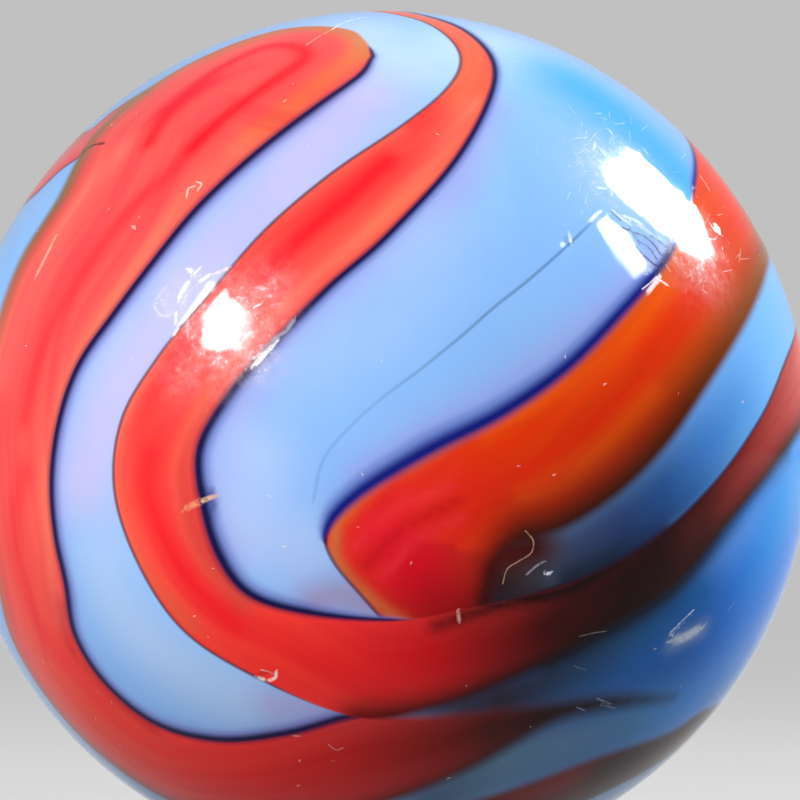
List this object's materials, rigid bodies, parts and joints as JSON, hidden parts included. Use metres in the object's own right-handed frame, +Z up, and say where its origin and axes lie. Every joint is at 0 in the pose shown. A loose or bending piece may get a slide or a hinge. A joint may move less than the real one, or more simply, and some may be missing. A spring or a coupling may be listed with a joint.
{
  "type": "glass marble",
  "caption": "Solid glass ball with folded red and orange bands swirled through opaque pale blue glass.",
  "frame": {"origin": "centre of the ball", "axes": "+Z up, -Y towards the side where the orange band curls into the middle, +X to the right as seen from that side"},
  "size_m": [0.016, 0.016, 0.016],
  "materials": {
    "glass": "gloss"
  },
  "bodies": {
    "root": {"marble": "glass"}
  },
  "joints": []
}
